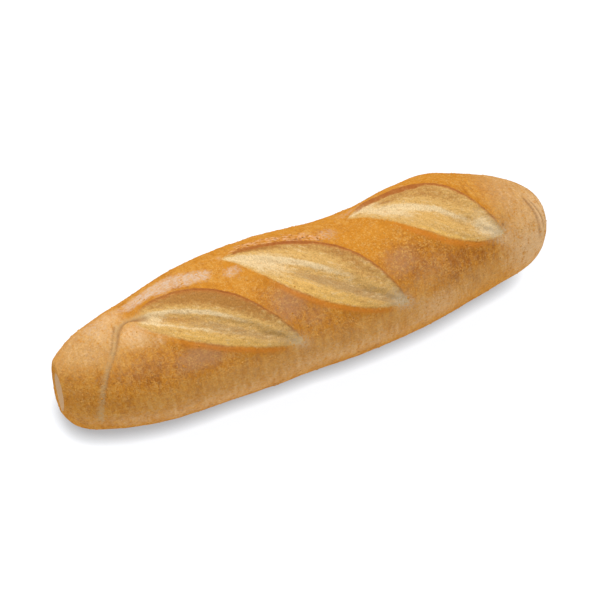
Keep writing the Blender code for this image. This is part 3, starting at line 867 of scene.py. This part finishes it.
def paintCrumb(where, threads, uneven, tuft):  # the colour of the crumb in the slashes
    # the tones are partly painted light: cream and gold partly highlight, ash and the toasted tone partly
    # shade
    gold, toastAndShade, ash, cream = (edged(name, uneven, 0.2, 0.1, 0.95)
                               for name in ("gold", "toastAndShade", "ash", "cream"))
    dapple = wobble(threads, "dapple", 2, 0.6)
    lighter = times(span(dapple, -0.1, -1, 0, 0.5), span(toastAndShade, 0, 1, 1, 0.25))
    pinholes = span(cells(where, "pinhole")["Distance"], 0.1, 0.3, 0.45, 0)
    crumb = layered(colours["crumb"], [
        (gold, "straw"), (toastAndShade, "toastAndShade"), (ash, "ash"), (cream, "cream"),
        (span(dapple, 0.1, 1, 0, 0.5), "toastAndShade"), (lighter, "cream"), (pinholes, "toastAndShade"),
    ])
    return scaled(crumb, span(tuft, -1, 1, 1.22, 0.78, "LINEAR"))


def makeCrustMaterial():
    material, tree, shader, where = startMaterial("crust", 0.5, 0)
    breakUp = wobble(where, "breakUp", 3, 0.6)
    clump = wobble(where, "clump", 2, 0.6)
    tuft = wobble(where, "tuft", 2, 0.6)
    threads = drawnAlong(tree, "streak", (0.4, 1, 1))
    uneven = add(wobble(threads, "fibre", 2, 0.6), clump)
    skin, glossAndPaintedHighlight = paintSkin(where, breakUp, clump, tuft)
    crumb = paintCrumb(where, threads, uneven, tuft)

    inCrumb = edged("crumb", clump, 0.12, 0.15, 0.85)
    colour = layered(mixColour(inCrumb, skin, crumb), [
        (varied("fold", add(breakUp, tuft), -0.9, 0.9, 0.35, 0.95), "fold"),
        # a dark line of painted shade along each fold
        (varied("creaseShade", breakUp, -0.8, 0.6, 0.5, 0.95), "creaseShade"),
    ])
    # the band under each ear: partly toasted crumb, partly painted shade under the lip
    earToastAndShadeColour = scaled(colours["earToastAndShade"][:3], span(tuft, -1, 1, 1.15, 0.85, "LINEAR"))
    colour = mixColour(edged("earToastAndShade", uneven, 0.14, 0.1, 0.9, 0.85), colour, earToastAndShadeColour)
    smear = varied("smear", add(tuft, clump), -1, 1, 0.2, 0.95)
    colour = mixColour(smear, colour, colours["flour"])
    # the lip line, partly the ear edge's toasted colour and partly painted shade in the crevice under it; and
    # a small dark spot, the painted shade of a hole
    colour = layered(colour, [
        (varied("lip", breakUp, -0.7, 0.7, 0.6, 1), "lip"), (attributeOf(tree, "hole"), "speck"),
    ])

    rough = add(span(breakUp, -0.8, 0.8, 0.46, 0.6), inCrumb, 0.25)
    skinHeight = useGroup(grainGroup, {"Vector": where, "Size": patternSize["pebble"]})["Height"]
    crumbHeight = grain(where, "crumb", 3, 0.65)
    height = result("ShaderNodeMix", {0: inCrumb, 2: skinHeight, 3: crumbHeight}, data_type="FLOAT")
    bump = result("ShaderNodeBump", {"Strength": 0.8, "Distance": 0.35 * mm, "Height": height})
    feed(shader, {"Base Color": colour, "Roughness": rough, "Normal": bump,
                  "Coat Weight": times(glossAndPaintedHighlight, 0.25), "Coat Roughness": 0.32})
    return material


def easeTurned(piece):  # draws the points of faces that the relief has turned over back into line
    mesh = piece.data
    outward = readOut(mesh.attributes["outward"].data, "vector", 3)
    points = readOut(mesh.vertices, "co", 3, float)
    corners = np.array([polygon.vertices[:] for polygon in mesh.polygons])
    edges = np.array([edge.vertices[:] for edge in mesh.edges])
    ends = np.concatenate([edges, edges[:, ::-1]])
    neighbours = np.maximum(np.bincount(ends[:, 0], minlength=len(points)), 1)
    for _ in range(easing["passes"]):
        a, b, c = (points[corners[:, i]] for i in range(3))
        facing = unit(np.cross(b - a, c - a), 1e-15)
        turned = (facing * outward[corners[:, 0]]).sum(axis=1) < easing["turned"]
        chosen = np.unique(corners[turned])
        sums = [np.bincount(ends[:, 0], points[ends[:, 1], i], len(points)) for i in range(3)]
        points[chosen] = (np.stack(sums, axis=1) / neighbours[:, None])[chosen]
    mesh.vertices.foreach_set("co", points.ravel())
    mesh.update()


paintCrust()
crustMaterial = makeCrustMaterial()
print("crust painted")
runTree(loaf, buildSkinRelief(), {**skinRelief, "Material": crustMaterial})
easeTurned(loaf)
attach(loaf, "root")
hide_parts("loaf")
print("skin relief done")


# loose flakes of split crust behind the ears, and small blisters over the skin, strewn by nodes

flakeForm = {"Mask": "flakeBed", "Density": 0.75e6, "Seed": 6, "Length": 4.4 * mm, "Width": 1.1 * mm,
             "Height": 0.24 * mm, "Sink": 0.03 * mm, "Curl": 0.3, "Tilt": 0.06, "Turn": 0.15, "Segments": 8}
blisterForm = {"Mask": "blister", "Density": 0.11e6, "Seed": 9, "Length": 0.95 * mm, "Width": 0.75 * mm,
               "Height": 0.42 * mm, "Sink": 0.04 * mm, "Curl": 0.0, "Tilt": 0.1, "Turn": 1.5, "Segments": 6}


def buildScatter():
    tree, given = shapeTree("skinScatter", {**flakeForm, "Mask": "String"})
    density = times(named(tree, given["Mask"]), given["Density"])
    strewn = put("GeometryNodeDistributePointsOnFaces",
                 {"Mesh": given["Geometry"], "Density": density, "Seed": given["Seed"]}).outputs
    sunk = scaled(strewn["Normal"], times(given["Sink"], -1))
    points = result("GeometryNodeSetPosition", {"Geometry": strewn["Points"], "Offset": sunk})
    upright = result("FunctionNodeAlignRotationToVector", {"Vector": strewn["Normal"]}, axis="Z")
    run = named(tree, "run", "FLOAT_VECTOR")
    turned = result("FunctionNodeAlignRotationToVector", {"Rotation": upright, "Vector": run},
                    axis="X", pivot_axis="Z")

    def spread(low, high, seed):
        inputs = {"Seed": seed, 2: low, 3: high}
        return put("FunctionNodeRandomValue", inputs, tree, data_type="FLOAT").outputs[1]

    tilts = [spread(times(given[name], -1), given[name], seed)
             for name, seed in (("Tilt", 11), ("Tilt", 12), ("Turn", 13))]
    extra = result("FunctionNodeEulerToRotation", {0: combined(*tilts)})
    rotation = result("FunctionNodeRotateRotation", {0: turned, 1: extra}, rotation_space="LOCAL")
    size = scaled(combined(given["Length"], given["Width"], given["Height"]), spread(0.55, 1.35, 14))

    lens = result("GeometryNodeMeshUVSphere", {"Segments": given["Segments"], "Rings": 4, "Radius": 0.5})
    at = partsOf(result("GeometryNodeInputPosition", {}, tree))[0]
    rise = times(times(at, at), given["Curl"])
    curled = result("GeometryNodeSetPosition", {"Geometry": lens, "Offset": combined(z=rise)})
    smooth = result("GeometryNodeSetShadeSmooth", {"Geometry": curled})
    placed = result("GeometryNodeInstanceOnPoints",
                    {"Points": points, "Instance": smooth, "Rotation": rotation, "Scale": size})
    return finishTree(placed, given["Material"])


def makeFlakeMaterial():  # split crust, from rosy brown to a dark red-brown
    material, _, shader, where = startMaterial("flakes", 0.5, 0.02)
    patchy = wobble(where, 2 * mm, 2, 0.6)
    fine = wobble(where, 0.6 * mm, 2, 0.6)
    colour = layered(colours["flake"], [
        (span(patchy, -0.5, 0.5), "orange"), (span(fine, 0, 0.7, 0, 0.45), "split")])
    feed(shader, {"Base Color": colour})
    return material


def makeBlisterMaterial():  # thin raised skin, paler than the crust round it
    material, tree, shader, where = startMaterial("blisters", 0.5, 0)
    browningAndShade = calc("SUBTRACT", attributeOf(tree, "browningAndShade"), 0.12)
    mottle = useGroup(mottleGroup, {"Vector": where, "BrowningAndShade": browningAndShade,
                                    "Blotch": 0.07, "Clump": 0.18, "Freckle": 0.2})
    colour = layered(mottle["Color"], [
        (attributeOf(tree, "tan"), "tan"),
        (span(attributeOf(tree, "fleck"), 0, 1, 0.08, 0.28), "fleck")])
    feed(shader, {"Base Color": colour})
    return material


scatterTree = buildScatter()


def strew(name, form, material):
    piece = newPiece(name, loaf.data.copy())
    runTree(piece, scatterTree, {**form, "Material": material})
    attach(piece, "root")
    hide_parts("loaf")
    print(name, "strewn:", len(piece.data.polygons), "faces")


strew("earFlakes", flakeForm, makeFlakeMaterial())
strew("crustBlisters", blisterForm, makeBlisterMaterial())


# the camera stands where the photograph was taken from, far off with a long lens

view = {"azimuth": -26.76, "elevation": 50, "lens": 150, "pixelsPerMetre": 2409,
        "middle": (299.75, 296.9), "aimHeight": 22 * mm, "imageSize": 600, "sensor": 36,
        "nearest": 0.05, "farthest": 20}


def makeCamera():
    v = view
    camera = newPiece("camera", bpy.data.cameras.new("camera"))
    bpy.context.scene.camera = camera
    camera.data.sensor_width = v["sensor"]
    camera.data.lens = v["lens"]
    distance = v["lens"] / v["sensor"] * v["imageSize"] / v["pixelsPerMetre"]
    a, e = math.radians(v["azimuth"]), math.radians(v["elevation"])
    back = Vector((math.sin(a) * math.cos(e), -math.cos(a) * math.cos(e), math.sin(e)))
    right = Vector((math.cos(a), math.sin(a), 0))
    up = back.cross(right)
    aside = (v["imageSize"] / 2 - v["middle"][0]) / v["pixelsPerMetre"]
    above = (v["middle"][1] - v["imageSize"] / 2) / v["pixelsPerMetre"]
    aim = Vector((0, 0, v["aimHeight"])) + right * aside + up * above
    camera.location = aim + back * distance
    camera.rotation_euler = back.to_track_quat("Z", "Y").to_euler()
    camera.data.clip_start, camera.data.clip_end = v["nearest"], v["farthest"]


lights = {  # where it stands and what it lights (metres), width and height, power in watts
    "overheadSoftbox": ((-0.1, 0.3, 1.12), (0, 0, 0.02), (0.5, 0.5), 11.5),
    "frontSoftbox": ((0.8, -0.65, 0.45), (0, 0, 0.03), (0.45, 0.3), 1.8),
}
roomLight = {"Color": (1, 1, 1, 1), "Strength": 0.42}


def makeLights():
    world = bpy.data.worlds.new("studio")
    bpy.context.scene.world = world
    world.use_nodes = True
    feed(world.node_tree.nodes["Background"], roomLight)
    for name, (place, target, size, power) in lights.items():
        data = bpy.data.lights.new(name, "AREA")
        data.shape = "RECTANGLE"
        data.size, data.size_y = size
        data.energy = power
        light = newPiece(name, data)
        light.visible_camera = False
        light.location = place
        towards = Vector(target) - Vector(place)
        light.rotation_euler = towards.to_track_quat("-Z", "Y").to_euler()
    bpy.context.scene.view_settings.view_transform = "Standard"


# for the camera the paper glows to pure white, and that glow dims where ambient occlusion finds the loaf
# close: a painted shadow, tight and neutral, round the loaf; other rays see plainly lit paper
floorPaper = {"half": 3, "lit": (0.88, 0.89, 0.91, 1), "glow": 0.2,
              "seen": (0.14, 0.145, 0.155, 1), "seenGlow": 0.97, "seenTint": (0.96, 0.975, 1, 1),
              "shadowReach": 7 * mm, "closed": 0.3, "closedShade": 0.43}


def makeFloor():
    p, half = floorPaper, floorPaper["half"]
    mesh = bpy.data.meshes.new("floor")
    corners = [(-half, -half, 0), (half, -half, 0), (half, half, 0), (-half, half, 0)]
    mesh.from_pydata(corners, [], [(0, 1, 2, 3)])
    floor = newPiece("floor", mesh)
    material = bpy.data.materials.new("floorPaper")
    material.use_nodes = True
    tree = material.node_tree
    tree.nodes.clear()

    def paper(colour, glow, tint=(1, 1, 1, 1)):
        matt = result("ShaderNodeBsdfDiffuse", {0: colour}, tree)
        light = result("ShaderNodeEmission", {0: tint, 1: glow}, tree)
        return result("ShaderNodeAddShader", {0: matt, 1: light})

    # painted shadow: ambient occlusion close to the loaf dims the glow the camera sees
    near = put("ShaderNodeAmbientOcclusion", {"Distance": p["shadowReach"]}, tree, samples=16)
    shade = span(near.outputs["AO"], p["closed"], 1, p["closedShade"], 1, "LINEAR")
    seen = paper(p["seen"], times(shade, p["seenGlow"]), p["seenTint"])
    lit = paper(p["lit"], p["glow"])
    forCamera = put("ShaderNodeLightPath", {}, tree).outputs["Is Camera Ray"]
    put("ShaderNodeOutputMaterial", {0: result("ShaderNodeMixShader", {0: forCamera, 1: lit, 2: seen})})
    mesh.materials.append(material)


makeCamera()
makeLights()
makeFloor()
print("camera, lights and floor placed")
